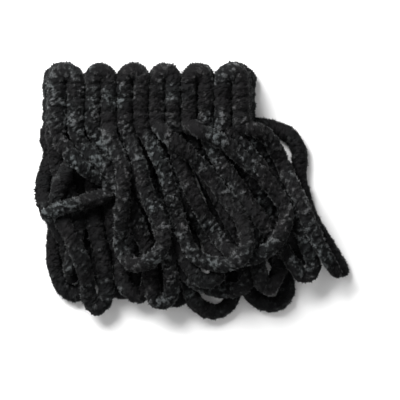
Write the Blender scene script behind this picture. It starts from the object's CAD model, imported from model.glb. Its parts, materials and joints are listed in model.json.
# %% [markdown]
# # A cut length of chenille loop fringe
#
# The object is a short length of trimming. Thick chenille yarn is folded up and down in three
# layers. The upper turns are sewn to a tape and make a row of scallops, and the lower turns hang
# as long loops. The piece lies on its back, and we look at it from straight above.
#
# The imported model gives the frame: where every leg, scallop and loop is, and what moves. This
# lesson gives the same pieces their real surface, a short dense pile on a twisted core.

import json
import math

import bmesh
import bpy
import numpy as np
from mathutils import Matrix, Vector, noise


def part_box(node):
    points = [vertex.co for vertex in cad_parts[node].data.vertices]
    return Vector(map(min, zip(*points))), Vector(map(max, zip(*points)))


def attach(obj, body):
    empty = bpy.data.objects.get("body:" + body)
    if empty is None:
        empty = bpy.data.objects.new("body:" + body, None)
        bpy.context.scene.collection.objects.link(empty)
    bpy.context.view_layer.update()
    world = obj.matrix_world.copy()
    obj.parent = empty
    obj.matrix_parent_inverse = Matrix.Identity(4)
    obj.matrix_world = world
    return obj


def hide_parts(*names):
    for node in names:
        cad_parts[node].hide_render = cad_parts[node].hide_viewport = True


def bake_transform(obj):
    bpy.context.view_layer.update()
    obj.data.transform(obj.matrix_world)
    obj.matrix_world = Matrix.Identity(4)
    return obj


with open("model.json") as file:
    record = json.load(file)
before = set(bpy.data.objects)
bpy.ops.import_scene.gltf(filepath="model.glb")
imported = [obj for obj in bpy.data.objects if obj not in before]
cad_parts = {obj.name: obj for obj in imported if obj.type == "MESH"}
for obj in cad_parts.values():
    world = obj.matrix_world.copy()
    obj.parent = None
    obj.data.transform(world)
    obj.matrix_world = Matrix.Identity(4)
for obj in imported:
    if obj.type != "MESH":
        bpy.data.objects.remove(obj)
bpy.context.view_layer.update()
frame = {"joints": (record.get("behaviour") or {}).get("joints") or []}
MM = 0.001
NOISE_SEED = 7

noise.seed_set(NOISE_SEED)      # the vector noise starts from the clock unless it is given a seed


# %% [markdown]
# ## Camera, floor and light
#
# The camera comes first, because everything is judged through it. It looks straight down with
# parallel rays, as a long lens from far away does, so a loop is not drawn wider where it lies
# higher. A large soft lamp at the upper left gives the soft shadow at the lower right, and a
# plain white world fills the rest, as in a small light tent. A black object needs more light
# than a pale one, or its pile would drown.

# %% Camera
VIEW_CENTRE = (19.9 * MM, -42.9 * MM)
VIEW_WIDTH = 156 * MM
CAMERA_HEIGHT = 500 * MM
NEAREST_SEEN = 10 * MM
FARTHEST_SEEN = 5000 * MM

camera = bpy.data.objects.new("Camera", bpy.data.cameras.new("Camera"))
camera.data.type = "ORTHO"
camera.data.ortho_scale = VIEW_WIDTH
camera.data.clip_start = NEAREST_SEEN
camera.data.clip_end = FARTHEST_SEEN
camera.location = (*VIEW_CENTRE, CAMERA_HEIGHT)
bpy.context.scene.collection.objects.link(camera)
bpy.context.scene.camera = camera
bpy.context.scene.view_settings.view_transform = "Standard"
print(f"The view is {VIEW_WIDTH / MM:.0f} mm wide")


# %% Small helpers for materials
def linear(hex_colour):
    """An sRGB colour such as "#1a1b1c" as linear red, green, blue and 1."""
    srgb = [int(hex_colour[i:i + 2], 16) / 255 for i in (1, 3, 5)]
    return [c / 12.92 if c <= 0.04045 else ((c + 0.055) / 1.055) ** 2.4 for c in srgb] + [1]


def add_node(tree, kind, values=None, links=None, **settings):
    """Adds a node, sets its settings and unlinked inputs, and links the others."""
    made = tree.nodes.new(kind)
    for name, value in settings.items():
        setattr(made, name, value)
    for name, value in (values or {}).items():
        made.inputs[name].default_value = value
    for name, source in (links or {}).items():
        tree.links.new(source, made.inputs[name])
    return made


def new_material(name):
    """An empty material and its node tree."""
    made = bpy.data.materials.new(name)
    made.use_nodes = True
    made.node_tree.nodes.clear()
    return made, made.node_tree


print(f"sRGB #808080, half way up to white, is only {linear('#808080')[0]:.2f} in linear light")

# %% Floor
FLOOR_WIDTH = 3000 * MM
FLOOR_DROP = 0.15 * MM          # clear of the tape's back, so that the two never flicker
PAPER_WHITE = "#fbfbfb"         # matt paper scatters light all ways, so it shows no glint

paper, tree = new_material("Matt paper")
surface = add_node(tree, "ShaderNodeBsdfPrincipled",
                   {"Base Color": linear(PAPER_WHITE), "Roughness": 0.9})
add_node(tree, "ShaderNodeOutputMaterial", links={"Surface": surface.outputs["BSDF"]})

bm = bmesh.new()
bmesh.ops.create_grid(bm, x_segments=1, y_segments=1, size=FLOOR_WIDTH / 2)
bmesh.ops.translate(bm, vec=(0, 0, -FLOOR_DROP), verts=bm.verts)
floor = bpy.data.objects.new("floor", bpy.data.meshes.new("floor"))
bm.to_mesh(floor.data)
bm.free()
floor.data.materials.append(paper)
bpy.context.scene.collection.objects.link(floor)
print(f"floor {FLOOR_DROP / MM} mm under the object")

# %% Lamps
KEY_PLACE = (-0.34, 0.44, 0.58)     # in metres: to the left, past the scallops, and above
KEY_WIDTH = 0.48
KEY_WATTS = 14
WORLD_STRENGTH = 0.5


def area_lamp(name, place, width, watts):
    """A square soft lamp that faces the middle of the view."""
    lamp = bpy.data.objects.new(name, bpy.data.lights.new(name, "AREA"))
    lamp.data.size = width
    lamp.data.energy = watts
    lamp.location = place
    aim = Vector((*VIEW_CENTRE, 0)) - lamp.location
    lamp.rotation_euler = aim.to_track_quat("-Z", "Y").to_euler()
    bpy.context.scene.collection.objects.link(lamp)
    return lamp


key_lamp = area_lamp("Key lamp", KEY_PLACE, KEY_WIDTH, KEY_WATTS)
world = bpy.data.worlds.new("Light tent")
world.use_nodes = True
world.node_tree.nodes["Background"].inputs["Color"].default_value = (1, 1, 1, 1)
world.node_tree.nodes["Background"].inputs["Strength"].default_value = WORLD_STRENGTH
bpy.context.scene.world = world
print(f"{key_lamp.name}: {KEY_WATTS} W over {KEY_WIDTH} m, and a world of {WORLD_STRENGTH}")


# %% [markdown]
# ## The routes of the yarns
#
# Every loop and every cut strand is one length of limp yarn. It leaves the heading at the end of
# one leg, wanders over the surface, and a loop goes back up into the next leg. The routes are
# plan points in millimetres, chosen by hand, and they are listed in the order in which the yarns
# lie on each other. The heights are not listed: each yarn lies on the surface, or on whatever was
# laid before it, a yarn's thickness higher. That is how a real heap of cord gets its heights, so
# the cores stay apart and only the piles press into each other.

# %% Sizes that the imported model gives
LAYERS = ("back", "middle", "front")
SCALLOPS = 6


def scallop_box(layer, number):
    """The box of a heading scallop's CAD solid. Numbers start at 1."""
    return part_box(f"{LAYERS[layer]}_scallop_{number}")


low, high = scallop_box(0, 1)
CORE = (high.z - low.z) / 2
LAYER_Z = [sum(corner.z for corner in scallop_box(layer, 1)) / 2 for layer in range(len(LAYERS))]
HINGE_Y = next(joint["pos_m"][1] for joint in frame["joints"] if joint["name"] == "skirt_drop")
FRONT_BODIES = {joint["child"] for joint in frame["joints"]} - {"lower_loops"}


def leg_x(layer, leg):
    """Where leg 0 to 11 of a layer has its centre line, along X."""
    low, high = scallop_box(layer, leg // 2 + 1)
    return high.x - CORE if leg % 2 else low.x + CORE


print(f"yarn core radius {CORE / MM:.2f} mm, hinge line at Y {HINGE_Y / MM:.1f} mm")
print("layer heights in mm:", [round(z / MM, 1) for z in LAYER_Z])

# %% Plan points of every yarn
# Each row has a name, a layer from 0 at the back to 2 in front, the legs at its two ends, counted
# from 0 at the left, with None for a cut end, and its route.
YARNS = [
    ("back_loop_1", 0, 1, 2,
     [(-32, -20), (-32.8, -30), (-34, -40), (-36, -50), (-37, -58), (-37, -66), (-35.5, -73),
      (-31.5, -78.8), (-26.5, -79), (-24, -73), (-25.5, -63), (-27, -50), (-27.3, -38),
      (-24.5, -24)]),
    ("back_strand_left", 0, 0, None,
     [(-39.7, -18.5), (-38.4, -23), (-38.8, -28), (-40.8, -34), (-41.2, -40), (-39.8, -46.5),
      (-36.5, -52.5), (-33, -59), (-31, -66), (-30, -73)]),
    ("back_loop_2", 0, 3, 4,
     [(-16.5, -22), (-17.5, -36), (-18, -50), (-19, -62), (-19, -70), (-16.8, -76), (-12, -78.3),
      (-6.8, -76.5), (-5.8, -67), (-7.5, -52), (-9, -36), (-9.5, -22)]),
    ("back_loop_3", 0, 5, 6,
     [(-2.2, -22), (-0.3, -37), (1.5, -54), (3, -68), (6, -78), (10.5, -82), (14, -77),
      (12.5, -66), (9, -52), (6, -36), (4, -22)]),
    ("back_loop_4", 0, 7, 8,
     [(10.5, -24), (16, -38), (17.5, -53), (17, -66), (16, -78), (20, -84.6), (26.8, -86.3),
      (32, -81.5), (32.5, -71), (29.3, -58), (25.6, -44), (18.6, -25)]),
    ("back_loop_5", 0, 9, 10,
     [(24, -24), (29, -40), (33.5, -56), (37, -70), (40, -79), (45, -83.4), (51, -82.7), (54, -77),
      (51, -69), (46, -60), (41, -48), (36, -34), (30, -21)]),
    ("back_strand_right", 0, 11, None,
     [(43, -13.8), (49, -14.8), (55.5, -18.5), (58.6, -25), (58.6, -33), (60.4, -43), (64, -51.6),
      (68.6, -58.6), (72, -64.4), (75.2, -70)]),
    ("middle_strand_left", 1, 0, None,
     [(-37, -20), (-36, -28), (-33, -36), (-29.5, -44), (-28, -53), (-29.5, -62), (-31, -70)]),
    ("middle_loop_1", 1, 1, 2,
     [(-27.6, -19), (-28.5, -25.5), (-32.5, -32), (-35.5, -39), (-35.3, -47), (-32, -55),
      (-27.5, -64), (-24.5, -73), (-23.3, -81), (-20.2, -85), (-17, -81), (-17, -73), (-18.5, -64),
      (-21, -54), (-22, -44), (-22, -32), (-21.5, -22)]),
    ("middle_loop_4", 1, 7, 8,
     [(9.5, -22), (9.5, -36), (8.5, -50), (9, -61), (13, -70.3), (20, -75.6), (28, -78),
      (36, -77.3), (40, -71.5), (38.8, -62), (32.8, -52), (26, -40), (20, -28), (17, -20)]),
    ("middle_loop_3", 1, 5, 6,
     [(-2.5, -22), (-1.5, -34), (3.5, -46), (9.5, -58), (15.5, -68.5), (21.5, -74.6),
      (26.8, -71.8), (24.8, -62), (19.5, -52), (12, -41), (6, -31), (3.5, -22)]),
    ("middle_loop_2", 1, 3, 4,
     [(-15.5, -22), (-15, -34), (-14.5, -46), (-13.5, -58), (-11.5, -68), (-9.5, -76), (-4, -80.3),
      (0, -75), (-0.5, -65), (-2.5, -52), (-5, -38), (-8, -24)]),
    ("middle_loop_5", 1, 9, 10,
     [(23.5, -20), (29, -30), (35, -42), (40, -54), (42.3, -64), (43, -71), (45.6, -77.3),
      (49.4, -73.5), (51.6, -66.5), (51.3, -59), (47.5, -49), (42, -38), (35.5, -26), (30.5, -19)]),
    ("middle_strand_right", 1, 11, None,
     [(40, -18.5), (43.8, -25), (47.6, -32.5), (51, -40), (54, -48), (56.3, -57), (59.5, -66)]),
    ("front_strand_left", 2, 0, None,
     [(-34.5, -20), (-29.5, -26.5), (-23, -32), (-16.5, -35.5), (-14.5, -39), (-19, -41.8),
      (-27, -44), (-34, -46), (-39.5, -48.5)]),
    ("front_loop_1", 2, 1, 2,
     [(-28, -18), (-24.5, -23), (-18, -29.5), (-12, -37), (-7, -46), (-3, -56), (0, -66), (1, -76),
      (3, -82.3), (8, -81), (8.5, -72), (6, -60), (2, -48), (-4, -37), (-12, -27), (-19.5, -19)]),
    ("front_loop_2", 2, 3, 4,
     [(-15, -19), (-12, -25), (-10, -32), (-10.3, -42), (-10.8, -54), (-10.5, -62), (-6, -68),
      (0.5, -66.5), (5.5, -60), (5, -52), (1, -45), (-1.8, -37), (-4, -28), (-7.8, -19)]),
    ("front_loop_5", 2, 9, 10,
     [(23.5, -20), (28.5, -29), (35.5, -39), (42.5, -49), (49.5, -59), (55.6, -67), (60, -72.5),
      (64, -70.6), (63.2, -65), (59.8, -56), (54.8, -46), (48, -36), (41, -27), (34, -18.8)]),
    ("front_strand_right", 2, 11, None,
     [(40, -15), (45.2, -17.3), (49.2, -22.5), (52.2, -29), (56, -37), (60.5, -47), (64.6, -56.5),
      (69, -64.8), (72.8, -70.8)]),
    ("front_loop_4", 2, 7, 8,
     [(9.8, -18.5), (11, -25), (13.5, -32.5), (17, -40), (21, -48), (25.5, -55.5), (30, -61.5),
      (35.5, -65), (41.5, -65.3), (47.5, -61.5), (52.3, -54.5), (53.6, -47.5), (50, -40.5),
      (43.5, -33), (36, -26), (28.5, -20.3), (21, -16.3)]),
    ("front_loop_3", 2, 5, 6,
     [(-1.2, -17.5), (2, -23), (5.5, -30.5), (8.5, -39.5), (11, -48.5), (13.8, -57), (17.5, -64),
      (24, -67.5), (31.5, -68), (36.8, -64.5), (38.3, -58), (36, -50.5), (32, -44.5), (28, -39.3),
      (24, -34), (19, -28.3), (13.8, -23.2), (8, -18.6)]),
]
print(f"{len(YARNS)} yarns, {sum(last is None for _, _, _, last, _ in YARNS)} of them cut at one end")


# %% Helpers for smooth lines
def through(points, parts):
    """A smooth line through points, with so many parts in each span (Catmull and Rom's rule)."""
    p = np.asarray(points, float)
    p = np.vstack([2 * p[0] - p[1], p, 2 * p[-1] - p[-2]])
    a, b, c, d = (p[k:len(p) - 3 + k, None] for k in range(4))
    t = (np.arange(parts) / parts)[None, :, None]
    line = 0.5 * (2 * b + (c - a) * t + (2 * a - 5 * b + 4 * c - d) * t**2
                  + (3 * b - a - 3 * c + d) * t**3)
    return np.vstack([line.reshape(-1, p.shape[1]), p[-2]])


def distances(line):
    """How far along a line each of its points is."""
    return np.concatenate([[0], np.cumsum(np.linalg.norm(np.diff(line, axis=0), axis=1))])


def evenly(line, step):
    """The same line as points at even steps of about that length."""
    at = distances(line)
    count = int(at[-1] / step + 0.5)
    wanted = np.linspace(0, at[-1], count + 1)
    return np.column_stack([np.interp(wanted, at, line[:, k]) for k in range(line.shape[1])])


bend = through([(0, 0), (1, 0), (1, 1)], 8)
print(f"three corners become a line of {len(bend)} points, {distances(bend)[-1]:.2f} long, not 2")

# %% Lay every yarn on the ones before it
STEP = 3.5 * MM                 # distance in plan between two points of a laid yarn
LAY_GAP = 5.7 * MM              # centre distance where one yarn lies on another
CLIMB = 2.2 * MM                # most that a yarn climbs over one step, once out of the heading
REST_Z = CORE + 0.1 * MM        # centre of a yarn that lies on the surface
CREST = 1                       # steps on each side of a crossing that stay level
SPAN_PARTS = 8                  # parts to each span of a route


def least_heights(plan, under):
    """How high each plan point has to be to clear the points under it."""
    need = np.full(len(plan), REST_Z)
    if len(under):
        apart = ((plan[:, None] - under[None, :, :2])**2).sum(-1)
        over = under[None, :, 2] + np.sqrt(np.clip(LAY_GAP**2 - apart, 0, None))
        need = np.maximum(need, np.where(apart < LAY_GAP**2, over, 0).max(1))
    return need


def eased(need):
    """Heights that are never under need, climb gently, and are rounded at the crests."""
    steps = np.arange(len(need))
    fall = CLIMB * np.maximum(0, abs(steps[:, None] - steps[None]) - CREST)
    tent = (need[None] - fall).max(1)
    padded = np.concatenate([tent[:1], tent, tent[-1:]])
    return (padded[:-2] + padded[1:-1] + padded[2:]) / 3


routes, under = {}, np.zeros((0, 3))
for name, layer, first, last, points in YARNS:
    ends = [(leg_x(layer, leg), HINGE_Y) for leg in (first, last) if leg is not None]
    plan = np.array([ends[0], *(np.array(points) * MM), *ends[1:]])
    plan = evenly(through(plan, SPAN_PARTS), STEP)
    heights = eased(least_heights(plan, under))
    heights[0] = LAYER_Z[layer]
    if last is not None:
        heights[-1] = LAYER_Z[layer]
    routes[name] = np.column_stack([plan, heights])
    under = np.vstack([under, routes[name]])
print(f"the highest yarn's centre is {under[:, 2].max() / MM:.1f} mm up")

# %% Compare the routes with the CAD solids
worst = 0
for name, route in routes.items():
    low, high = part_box(name)
    worst = max(worst, *abs(route.min(0) - CORE - low), *abs(route.max(0) + CORE - high))
print(f"{len(routes)} yarns, {sum(distances(r)[-1] for r in routes.values()):.3f} m in all")
print(f"their routes meet the CAD boxes within {worst / MM:.2f} mm")


# %% [markdown]
# ## Chenille
#
# Chenille yarn is two thin core threads twisted together, with short cut fibres caught between
# them. The fibres stand out all round as a dense pile, so the yarn looks like a velvet cord. The
# twist lets the pile out in a soft spiral, and handling parts it into small tufts.
#
# Particle hair would show it well but would not leave the program as a mesh. Here the pile is
# geometry. A line gets a round bevel, which is the tool's own way to sweep a tube, and becomes
# a mesh of small square faces. Slow noise and a spiral wave swell the tube into lumps, and the
# poke operator raises the middle of every face into a tuft, which leans with its neighbours and
# a little askew of them. The result is one closed skin. Where a yarn lies on the table its pile
# is pressed flat.

# %% Sweep a line into a round tube
SIDES = 28                      # faces round the yarn
RING_PARTS = 7                  # rings to each step of a route, so they are 0.5 mm apart
SHEAR = math.tau / 14           # turn over 1 mm, so that the faces run once round in 14 mm


def swept(name, path, radius, sides, radii=None, tilts=None):
    """An open round tube along path. The radii are shares of the radius."""
    line = bpy.data.curves.new(name, "CURVE")
    line.dimensions = "3D"
    line.bevel_depth = radius
    line.bevel_resolution = (sides - 4) // 2    # a round bevel has 4 + 2 x this many sides
    spline = line.splines.new("POLY")
    spline.points.add(len(path) - 1)
    spline.points.foreach_set("co", np.column_stack([path, np.ones(len(path))]).ravel())
    if radii is not None:
        spline.points.foreach_set("radius", radii)
    if tilts is not None:
        spline.points.foreach_set("tilt", tilts)
    holder = bpy.data.objects.new(name, line)
    bpy.context.scene.collection.objects.link(holder)
    seen = holder.evaluated_get(bpy.context.evaluated_depsgraph_get())
    mesh = bpy.data.meshes.new_from_object(seen)
    bpy.data.objects.remove(holder)
    bpy.data.curves.remove(line)
    return mesh


print(f"rings {STEP / RING_PARTS / MM:.1f} mm apart, each of {SIDES} points")

# %% Round the ends of a yarn
TAPER = 18 * MM                 # a cut strand gets thinner over this last stretch,
CUT_TIP = 0.86                  # down to this share, because its end has lost some pile
DOME_DEGREES = (20, 40, 60, 80)     # where the rings past an end stand on its dome


def with_round_ends(path, skin, tip):
    """The path and its radii, with smaller rings past each end for a domed tip.

    The skin gets thinner over the last stretch, down to the share tip of its radius."""
    start = (path[0] - path[1]) / np.linalg.norm(path[0] - path[1])
    end = (path[-1] - path[-2]) / np.linalg.norm(path[-1] - path[-2])
    tilts = np.radians(DOME_DEGREES)
    beyond, shrunk = skin * np.sin(tilts), skin * np.cos(tilts)
    before = path[0] + start * beyond[::-1, None]
    after = path[-1] + end * beyond[:, None] * tip
    left = distances(path)[-1] - distances(path)
    along = skin * (tip + (1 - tip) * np.clip(left / TAPER, 0, 1))
    radii = np.concatenate([shrunk[::-1], along, shrunk * tip])
    return np.vstack([before, path, after]), radii


print(f"a cut end thins to {CUT_TIP:.0%} over its last {TAPER / MM:.0f} mm")

# %% Part the pile into clumps
CLUMP = 1.5 * MM                # size of the clumps that the pile parts into
CLUMP_CONTRAST = 0.9            # how sharply they stand out from the partings
FINE_CONTRAST = 0.35            # the same for clumps of half that size


def clump_at(place):
    """How far a place is up a clump of pile, from 0 in a parting to 1 on top."""
    coarse = CLUMP_CONTRAST * noise.noise(place / CLUMP)
    fine = FINE_CONTRAST * noise.noise(place / (CLUMP / 2))
    share = min(1, max(0, 0.5 + coarse + fine))
    return share * share * (3 - 2 * share)


print(f"at the origin the pile is {clump_at(Vector((0, 0, 0))):.2f} of the way up a clump")

# %% Swell the tube
SPIRAL_PITCH = 6.5 * MM         # one turn of the two core threads
SPIRAL_SWELL = 0.06 * MM
SWELLS = ((7.0 * MM, 0.35 * MM), (3.0 * MM, 0.25 * MM))     # size and height of slow swells
CLUMP_SWELL = 0.45 * MM
PINCH = 0.45 * MM               # how far a row of sewing pulls the pile in
PINCH_REACH = 0.9 * MM


def points_of(mesh, what="vertices", field="co"):
    """The positions, or normals, of a mesh's points as an array of rows."""
    found = np.empty(len(mesh.vertices) * 3)
    getattr(mesh, what).foreach_get(field, found)
    return found.reshape(-1, 3)


def swell(mesh, path, pinches):
    """Moves the tube's points along their normals, for the spiral of the core and the lumps."""
    places, normals = points_of(mesh), points_of(mesh, "vertex_normals", "vector")
    ring, side = np.divmod(np.arange(len(places)), SIDES)
    along = distances(path)[ring]
    around = side * math.tau / SIDES + along / MM * SHEAR - along / SPIRAL_PITCH * math.tau
    height = SPIRAL_SWELL * np.cos(2 * around)      # one ridge for each core thread
    for size, most in SWELLS:
        height += most * np.array([noise.noise(Vector(p / size)) for p in places])
    height += CLUMP_SWELL * (np.array([clump_at(Vector(p)) for p in places]) - 0.5)
    for y in pinches:
        height -= PINCH * np.exp(-((places[:, 1] - y) / PINCH_REACH)**2)
    mesh.vertices.foreach_set("co", (places + normals * height[:, None]).ravel())
    mesh.update()


print("slow swells of up to", [round(most / MM, 2) for _, most in SWELLS], "mm")

# %% Close the ends and raise the tufts
TUFT = 0.9 * MM                 # height of the tallest tuft
SHORTEST_TUFT = 0.15            # the shortest, as a share of it
IN_PARTING = 0.4                # share of its height that a tuft keeps in a parting
DRIFT = 0.3 * MM                # how far a tuft leans together with its neighbours
DRIFT_SIZE = 2 * MM
LEAN = 0.18 * MM                # how far it stands askew of them
PRESSED_Z = 0.12 * MM           # where the pile is pressed flat on the table
SKIN_LIGHT, TUFT_LIGHT = 0.85, 0.15     # shares of the light on the tip of a tallest tuft


def raise_tufts(mesh, shine, seed):
    """Closes the ends, pokes every face and leans the new points.

    The attribute "tuft" keeps how much light each point gets, from 0 in a parting up to shine."""
    random = np.random.default_rng(seed)
    bm = bmesh.new()
    bm.from_mesh(mesh)
    bmesh.ops.holes_fill(bm, edges=[e for e in bm.edges if e.is_boundary], sides=0)
    bmesh.ops.recalc_face_normals(bm, faces=bm.faces)
    lit = bm.verts.layers.float.new("tuft")
    for v in bm.verts:
        v[lit] = SKIN_LIGHT * shine * clump_at(v.co)
    tips = bmesh.ops.poke(bm, faces=bm.faces, offset=0.0, center_mode="MEAN")["verts"]
    bm.normal_update()
    shares = random.uniform(SHORTEST_TUFT, 1.0, len(tips))
    leans = random.normal(0, LEAN, (len(tips), 3))
    for tip, share, lean in zip(tips, shares, leans):
        clump = clump_at(tip.co)
        drift = noise.noise_vector(tip.co / DRIFT_SIZE)
        rise = tip.normal * TUFT * share * (IN_PARTING + (1 - IN_PARTING) * clump)
        tip.co += rise + drift * DRIFT + Vector(lean)
        tip[lit] = shine * clump * (SKIN_LIGHT + TUFT_LIGHT * share)
    for v in bm.verts:
        v.co.z = max(v.co.z, PRESSED_Z)
    bmesh.ops.triangulate(bm, faces=[f for f in bm.faces if len(f.verts) > 3])
    for f in bm.faces:
        f.smooth = True
    bm.to_mesh(mesh)
    bm.free()


print(f"tufts of {SHORTEST_TUFT * IN_PARTING * TUFT / MM:.2f} to {TUFT / MM:.1f} mm")


# %% [markdown]
# ## The finish of the pile
#
# Rayon chenille is a very dark, soft black. Light goes in between the fibres and is lost, so the
# valleys between tufts are nearly black, and the tips catch a little grey. The shader reads how
# much light each point gets, which is kept on the mesh, and picks one of three greys by it. Noise
# of three sizes varies that: the grain of a few fibres, a mottle as wide as a yarn, and slow
# patches where handling has flattened or raised the pile. The patches are also a little warmer or
# cooler. Sheen lifts the lit pile where its fibres are seen from the side.

# %% Chenille material
PILE_SHADE, PILE_LIT, PILE_TIP = "#101011", "#252626", "#4c4d4e"
WARM_PATCH, COOL_PATCH = "#f6eeef", "#ebf3f3"
SHEEN_GREY = "#b2b4b4"
MOST_SHEEN = 0.3
GRAIN = 0.6 * MM                # a few fibres that stick together, as one would be too fine
MOTTLE = 4 * MM
PATCH = 14 * MM
PATCH_LOW, PATCH_HIGH = 0.35, 0.65      # the slow noise is nearly always between these
SHADE_ENDS, LIT_AT = 0.4, 0.65          # where the first two greys are on the scale of light

chenille, tree = new_material("Black rayon chenille")
place = add_node(tree, "ShaderNodeTexCoord").outputs["Object"]
height = add_node(tree, "ShaderNodeAttribute", attribute_name="tuft").outputs["Fac"]

fibres = add_node(tree, "ShaderNodeTexNoise", {"Scale": 1 / GRAIN, "Detail": 2.0},
                  {"Vector": place}).outputs["Fac"]
mottle = add_node(tree, "ShaderNodeTexNoise", {"Scale": 1 / MOTTLE, "Detail": 2.0},
                  {"Vector": place}).outputs["Fac"]
patches = add_node(tree, "ShaderNodeTexNoise", {"Scale": 1 / PATCH, "Detail": 1.0},
                   {"Vector": place}).outputs["Fac"]
grain = add_node(tree, "ShaderNodeMapRange",
                 {"From Min": 0.3, "From Max": 0.7, "To Min": 0.65, "To Max": 1.35},
                 {"Value": fibres})
brushed = add_node(tree, "ShaderNodeMapRange",
                   {"From Min": 0.36, "From Max": 0.64, "To Min": 0.5, "To Max": 1.3},
                   {"Value": mottle})
flattened = add_node(tree, "ShaderNodeMapRange",
                     {"From Min": PATCH_LOW, "From Max": PATCH_HIGH, "To Min": 0.65, "To Max": 1.3},
                     {"Value": patches})
lit = height
for varied in (flattened, brushed, grain):
    lit = add_node(tree, "ShaderNodeMath", links={0: lit, 1: varied.outputs["Result"]},
                   operation="MULTIPLY").outputs[0]

greys = add_node(tree, "ShaderNodeValToRGB", links={"Fac": lit})
stops = greys.color_ramp.elements
stops[0].position, stops[0].color = SHADE_ENDS, linear(PILE_SHADE)
stops[1].position, stops[1].color = 1.0, linear(PILE_TIP)
stops.new(LIT_AT).color = linear(PILE_LIT)
tint = add_node(tree, "ShaderNodeValToRGB", links={"Fac": patches})
stops = tint.color_ramp.elements
stops[0].position, stops[0].color = PATCH_LOW, linear(WARM_PATCH)
stops[1].position, stops[1].color = PATCH_HIGH, linear(COOL_PATCH)
tinted = add_node(tree, "ShaderNodeMix", {"Factor": 1.0},
                  {"A": greys.outputs["Color"], "B": tint.outputs["Color"]},
                  data_type="RGBA", blend_type="MULTIPLY")
sheen = add_node(tree, "ShaderNodeMath", {1: MOST_SHEEN}, {0: lit}, operation="MULTIPLY")
bump = add_node(tree, "ShaderNodeBump", {"Strength": 0.7, "Distance": 0.35 * MM},
                {"Height": fibres})
surface = add_node(tree, "ShaderNodeBsdfPrincipled",
                   {"Roughness": 0.85, "Specular IOR Level": 0.12,
                    "Sheen Roughness": 0.4, "Sheen Tint": linear(SHEEN_GREY)},
                   {"Base Color": tinted.outputs["Result"], "Sheen Weight": sheen.outputs[0],
                    "Normal": bump.outputs["Normal"]})
add_node(tree, "ShaderNodeOutputMaterial", links={"Surface": surface.outputs["BSDF"]})
print(f"{chenille.name}: {len(tree.nodes)} nodes")

# %% One length of chenille
# The radius under the tufts, in each layer. The lower ones are pressed wide by what lies on them.
SKINS = (2.85 * MM, 2.8 * MM, 2.7 * MM)
SHINES = (0.6, 0.75, 1.0)       # pressed pile also shows less of its tips


def chenille_yarn(name, route, layer, seed, pinches=(), fuller=0, tip=1):
    """One length of chenille along a route, and the path that it follows.

    Rows of sewing pinch it, a fuller one is thicker, and tip is what a cut end keeps."""
    path = through(route, RING_PARTS)
    rings, radii = with_round_ends(path, SKINS[layer] + fuller, tip)
    mesh = swept(name, rings, 1.0, SIDES, radii, distances(rings) / MM * SHEAR)
    swell(mesh, rings, pinches)
    raise_tufts(mesh, SHINES[layer], seed)
    piece = bpy.data.objects.new(name, mesh)
    bpy.context.scene.collection.objects.link(piece)
    piece.data.materials.append(chenille)
    return piece, path


print("skin radii in mm, from the back layer:", [round(skin / MM, 2) for skin in SKINS])

for seed, (name, layer, first, last, points) in enumerate(YARNS):
    yarn, path = chenille_yarn(name.replace("_", "-"), routes[name], layer, seed,
                               tip=CUT_TIP if last is None else 1)
    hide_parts(name)
    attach(yarn, name if name in FRONT_BODIES else "lower_loops")
    print(f"{yarn.name}: {distances(path)[-1] / MM:.0f} mm, {len(yarn.data.polygons)} faces")


# %% [markdown]
# ## The heading scallops
#
# Above the hinge line the same yarn goes up, turns over and comes down again, which makes the
# scalloped edge. Each scallop reaches a little past that line, into the ends of its loops. The
# yarn has to stay whole when the loops swing down, so each leg's lower end follows the loops and
# the rest follows the heading, with a smooth stretch between.

# %% Routes of the scallops
LEG_STEP = 1.2 * MM
TURN_POINTS = 9
TALLEST_TURN = 3.3 * MM
INNER_SCALLOP = 2               # the first and last are wider than this one
FULLER = 0.3 * MM               # the tight heading pushes its pile up
WOBBLE = 0.55 * MM              # hand-laid legs are not quite straight
WOBBLE_SIZE = 8 * MM            # of one sway, and of the stretch in which it grows from nothing
UPRIGHT_SWAY = 0.5              # the sway along Y and Z, as a share of that along X


def half_turn(layer, number):
    """Half the distance between the centre lines of a scallop's two legs."""
    low, high = scallop_box(layer, number)
    return (high.x - low.x) / 2 - CORE


def scallop_route(layer, number):
    """Up one leg, over the turn and down the other, and how much fuller the yarn is there.

    An end scallop is wide. Half of what it has to spare is filled by a fuller yarn."""
    low, high = scallop_box(layer, number)
    half = half_turn(layer, number)
    middle, turn_y, z = (low.x + high.x) / 2, high.y - CORE - half, LAYER_Z[layer]
    spare = max(0, half - half_turn(layer, INNER_SCALLOP)) / 2
    half, turn_y = half - spare, turn_y - spare
    height = min(half, TALLEST_TURN)
    leg = np.arange(HINGE_Y, turn_y, LEG_STEP)
    turn = np.radians(np.linspace(180, 0, TURN_POINTS))
    up = [(middle - half, y, z) for y in leg[:-1]]
    over = [(middle + half * math.cos(a), turn_y + height * math.sin(a), z) for a in turn]
    down = [(2 * middle - x, y, z) for x, y, z in up[::-1]]
    line = evenly(np.array(up + over + down), STEP)
    free = np.clip((line[:, 1] - HINGE_Y) / WOBBLE_SIZE, 0, 1)
    sway = np.array([noise.noise_vector(Vector(p) / WOBBLE_SIZE) for p in line])
    sway[:, 1:] *= UPRIGHT_SWAY
    return line + WOBBLE * free[:, None] * sway, FULLER + spare


print(f"an inner scallop's legs are {2 * half_turn(2, INNER_SCALLOP) / MM:.1f} mm apart")

# %% Scallops
SEWING_ROWS = ("upper", "middle", "lower")
SCALLOP_SEED = 100              # the loops and strands have the seeds under this one

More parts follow.
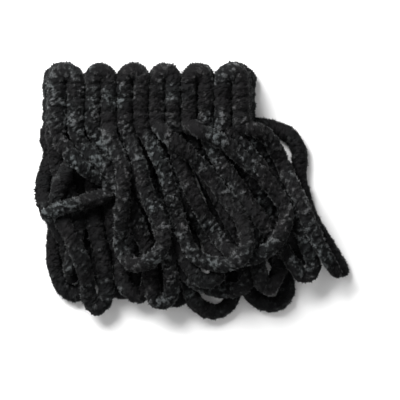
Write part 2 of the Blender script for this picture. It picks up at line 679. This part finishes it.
sewing_ys = [sum(corner.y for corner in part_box(f"sewing_row_{row}")) / 2 for row in SEWING_ROWS]
for layer in range(len(LAYERS)):
    for number in range(1, SCALLOPS + 1):
        node = f"{LAYERS[layer]}_scallop_{number}"
        route, fuller = scallop_route(layer, number)
        seed = SCALLOP_SEED + 10 * layer + number
        scallop, path = chenille_yarn(node.replace("_", "-"), route, layer, seed,
                                      sewing_ys, fuller)
        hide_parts(node)
        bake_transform(scallop)
print(f"{len(LAYERS) * SCALLOPS} scallops, {distances(path)[-1] / MM:.0f} mm of yarn in the last")


# %% [markdown]
# ## The sewing
#
# Three rows of thread hold the heading together. The thread runs over each front leg, sinks into
# the pile, and between two legs goes down through all three layers and comes back. The real one
# also goes through the tape. Here it turns round on the tape, so that the back lies flat. It is
# two fine plies twisted together, so it is made as two tubes that wind round the same line.

# %% Sewing thread material
THREAD_DARK, THREAD_LIT = "#060606", "#1a1a1b"      # spun polyester is dull, with a faint glint
THREAD_GRAIN = 0.15 * MM        # a bundle of fibres, as one would be too fine to show

thread_finish, tree = new_material("Black polyester sewing thread")
place = add_node(tree, "ShaderNodeTexCoord").outputs["Object"]
fibres = add_node(tree, "ShaderNodeTexNoise", {"Scale": 1 / THREAD_GRAIN, "Detail": 2.0},
                  {"Vector": place}).outputs["Fac"]
greys = add_node(tree, "ShaderNodeValToRGB", links={"Fac": fibres})
greys.color_ramp.elements[0].color = linear(THREAD_DARK)
greys.color_ramp.elements[1].color = linear(THREAD_LIT)
bump = add_node(tree, "ShaderNodeBump", {"Strength": 0.3, "Distance": 0.05 * MM},
                {"Height": fibres})
surface = add_node(tree, "ShaderNodeBsdfPrincipled",
                   {"Roughness": 0.6, "Specular IOR Level": 0.15},
                   {"Base Color": greys.outputs["Color"], "Normal": bump.outputs["Normal"]})
add_node(tree, "ShaderNodeOutputMaterial", links={"Surface": surface.outputs["BSDF"]})
print(f"{thread_finish.name}: {len(tree.nodes)} nodes")

# %% The thread's line
STITCH_STEP = 0.25 * MM
ROW_SINK = 1.15 * MM            # the thread's line over a leg, under the top of its CAD solid
END_INSET = 0.35 * MM           # the first stitch, from the end of that solid
STITCH_HALF = 0.2 * MM          # half the distance between the ways down and up
MOUTH_SINK = 2.2 * MM           # how far under the line a stitch's mouth is
SHOULDER, SHOULDER_SINK = 1.3 * MM, 0.5 * MM        # where the line meets a leg, and how far under
OVER_TAPE = 0.4 * MM


def softened(line):
    """The line with its corners rounded, by three passes of averaging with the neighbours."""
    for _ in range(3):
        line = np.vstack([line[:1], (line[:-2] + 2 * line[1:-1] + line[2:]) / 4, line[-1:]])
    return line


def stitch_line(row):
    """The thread's centre line: down to the tape and up again at each gap, and over each leg."""
    low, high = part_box(f"sewing_row_{row}")
    y, top = (low.y + high.y) / 2, high.z - ROW_SINK
    mouth, shoulder = top - MOUTH_SINK, top - SHOULDER_SINK
    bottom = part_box("heading_tape")[1].z + OVER_TAPE
    gap_step = leg_x(2, 2) - leg_x(2, 1)    # from one leg of the front layer to the next
    gaps = np.arange(low.x + END_INSET, high.x, gap_step)
    line = []
    for gap in gaps:
        way_down, way_up = gap - STITCH_HALF, gap + STITCH_HALF
        line += [(way_down, y, mouth), (way_down, y, bottom),
                 (way_up, y, bottom), (way_up, y, mouth)]
        if gap < gaps[-1]:
            line += [(gap + SHOULDER, y, shoulder), (gap + gap_step / 2, y, top),
                     (gap + gap_step - SHOULDER, y, shoulder)]
    return softened(evenly(np.array(line), STITCH_STEP))


print(f"the upper row takes {distances(stitch_line(SEWING_ROWS[0]))[-1] / MM:.0f} mm of thread")

# %% Sewing rows
PLY = 0.19 * MM                 # radius of one ply
PLY_SIDES = 6
PLY_OFFSET = 0.17 * MM          # from the thread's centre line to a ply's
PLY_TURN = 2.4 * MM             # length of one twist


def closed_ply(name, path):
    """One ply along a path, with its ends closed."""
    mesh = swept(name, path, PLY, PLY_SIDES)
    bm = bmesh.new()
    bm.from_mesh(mesh)
    bmesh.ops.holes_fill(bm, edges=[e for e in bm.edges if e.is_boundary], sides=0)
    for f in bm.faces:
        f.smooth = True
    bm.to_mesh(mesh)
    bm.free()
    return mesh


def thread_plies(name, line):
    """Two twisted plies along a line that lies in one upright plane."""
    across = np.array([0, 1, 0])
    ahead = np.gradient(line, axis=0)
    ahead /= np.linalg.norm(ahead, axis=1)[:, None]
    outwards = np.cross(ahead, across)
    bm = bmesh.new()
    for phase in (0, math.pi):
        turn = distances(line) / PLY_TURN * math.tau + phase
        offset = np.cos(turn)[:, None] * across + np.sin(turn)[:, None] * outwards
        bm.from_mesh(closed_ply(name, line + PLY_OFFSET * offset))
    bmesh.ops.recalc_face_normals(bm, faces=bm.faces)
    mesh = bpy.data.meshes.new(name)
    bm.to_mesh(mesh)
    bm.free()
    return mesh


for row in SEWING_ROWS:
    mesh = thread_plies(f"sewing-row-{row}-plies", stitch_line(row))
    piece = bpy.data.objects.new(f"sewing-row-{row}", mesh)
    bpy.context.scene.collection.objects.link(piece)
    piece.data.materials.append(thread_finish)
    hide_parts(f"sewing_row_{row}")
    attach(piece, "heading")
    print(f"{piece.name}: {len(mesh.polygons)} faces")


# %% [markdown]
# ## The tape
#
# Everything is sewn to a plain woven cotton tape, which shows only from behind. Warp and weft go
# over and under each other, so its face is a fine chequer of bumps and hollows. The two long edges
# are selvedges, which are plain here and stand as high as the bumps. The chequer is cut into a
# box by planes, because it has to be there in the mesh. The material adds the shade between the
# threads.

# %% Tape material
COTTON_DARK, COTTON_LIT = "#0b0b0b", "#232324"      # dyed cotton is a plain, matt black
WARP_REPEAT, WEFT_REPEAT = 1.0 * MM, 1.4 * MM       # coarser than in real tape, so that they show


def wave_scale(repeat):
    """The scale that makes a wave texture's bands repeat at that distance."""
    return math.tau / (20 * repeat)


tape_finish, tree = new_material("Black woven cotton tape")
place = add_node(tree, "ShaderNodeTexCoord").outputs["Object"]
warp = add_node(tree, "ShaderNodeTexWave",
                {"Scale": wave_scale(WARP_REPEAT), "Distortion": 0.3, "Detail Scale": 2.0},
                {"Vector": place}, bands_direction="Y")
weft = add_node(tree, "ShaderNodeTexWave",
                {"Scale": wave_scale(WEFT_REPEAT), "Distortion": 0.3, "Detail Scale": 2.0},
                {"Vector": place}, bands_direction="X")
weave = add_node(tree, "ShaderNodeMath", links={0: warp.outputs["Fac"], 1: weft.outputs["Fac"]},
                 operation="MULTIPLY").outputs[0]
greys = add_node(tree, "ShaderNodeValToRGB", links={"Fac": weave})
greys.color_ramp.elements[0].color = linear(COTTON_DARK)
greys.color_ramp.elements[1].color = linear(COTTON_LIT)
bump = add_node(tree, "ShaderNodeBump", {"Strength": 0.6, "Distance": 0.1 * MM},
                {"Height": weave})
surface = add_node(tree, "ShaderNodeBsdfPrincipled", {"Roughness": 0.8},
                   {"Base Color": greys.outputs["Color"], "Normal": bump.outputs["Normal"]})
add_node(tree, "ShaderNodeOutputMaterial", links={"Surface": surface.outputs["BSDF"]})
print(f"{tape_finish.name}: {len(tree.nodes)} nodes")

# %% Tape
EDGE_ROUND = 0.35 * MM
CHEQUER = 0.5 * MM              # from one bump to the next hollow
SELVEDGE = 1.0 * MM
HOLLOW = 0.06 * MM

low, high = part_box("heading_tape")
size, middle = high - low, (high + low) / 2
bm = bmesh.new()
bmesh.ops.create_cube(bm, size=1)
bmesh.ops.scale(bm, vec=size, verts=bm.verts)
bmesh.ops.translate(bm, vec=middle, verts=bm.verts)
bmesh.ops.bevel(bm, geom=bm.edges[:], affect="EDGES", offset=EDGE_ROUND, segments=2, profile=0.5,
                material=-1)
for axis in (0, 1):
    side = Vector((0, 0, 0))
    side[axis] = 1
    at = low[axis] + SELVEDGE
    while at < high[axis] - CHEQUER:
        bmesh.ops.bisect_plane(bm, geom=bm.verts[:] + bm.edges[:] + bm.faces[:],
                               plane_co=side * at, plane_no=side)
        at += CHEQUER
for v in bm.verts:
    x, y = (round((v.co[k] - low[k]) / CHEQUER) for k in (0, 1))
    on_a_face = abs(v.normal.z) > 0.5
    if on_a_face and SELVEDGE < v.co.y - low.y < size.y - SELVEDGE:
        v.co.z += math.copysign(HOLLOW, v.co.z - middle.z) * ((x + y) % 2 - 1)
bmesh.ops.recalc_face_normals(bm, faces=bm.faces)
mesh = bpy.data.meshes.new("tape")
bm.to_mesh(mesh)
bm.free()
tape = bpy.data.objects.new("tape", mesh)
bpy.context.scene.collection.objects.link(tape)
tape.data.materials.append(tape_finish)
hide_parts("heading_tape")
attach(tape, "heading")
print(f"tape {size.x / MM:.0f} by {size.y / MM:.0f} mm, {len(mesh.polygons)} faces")


# %% Write both boxes and finish
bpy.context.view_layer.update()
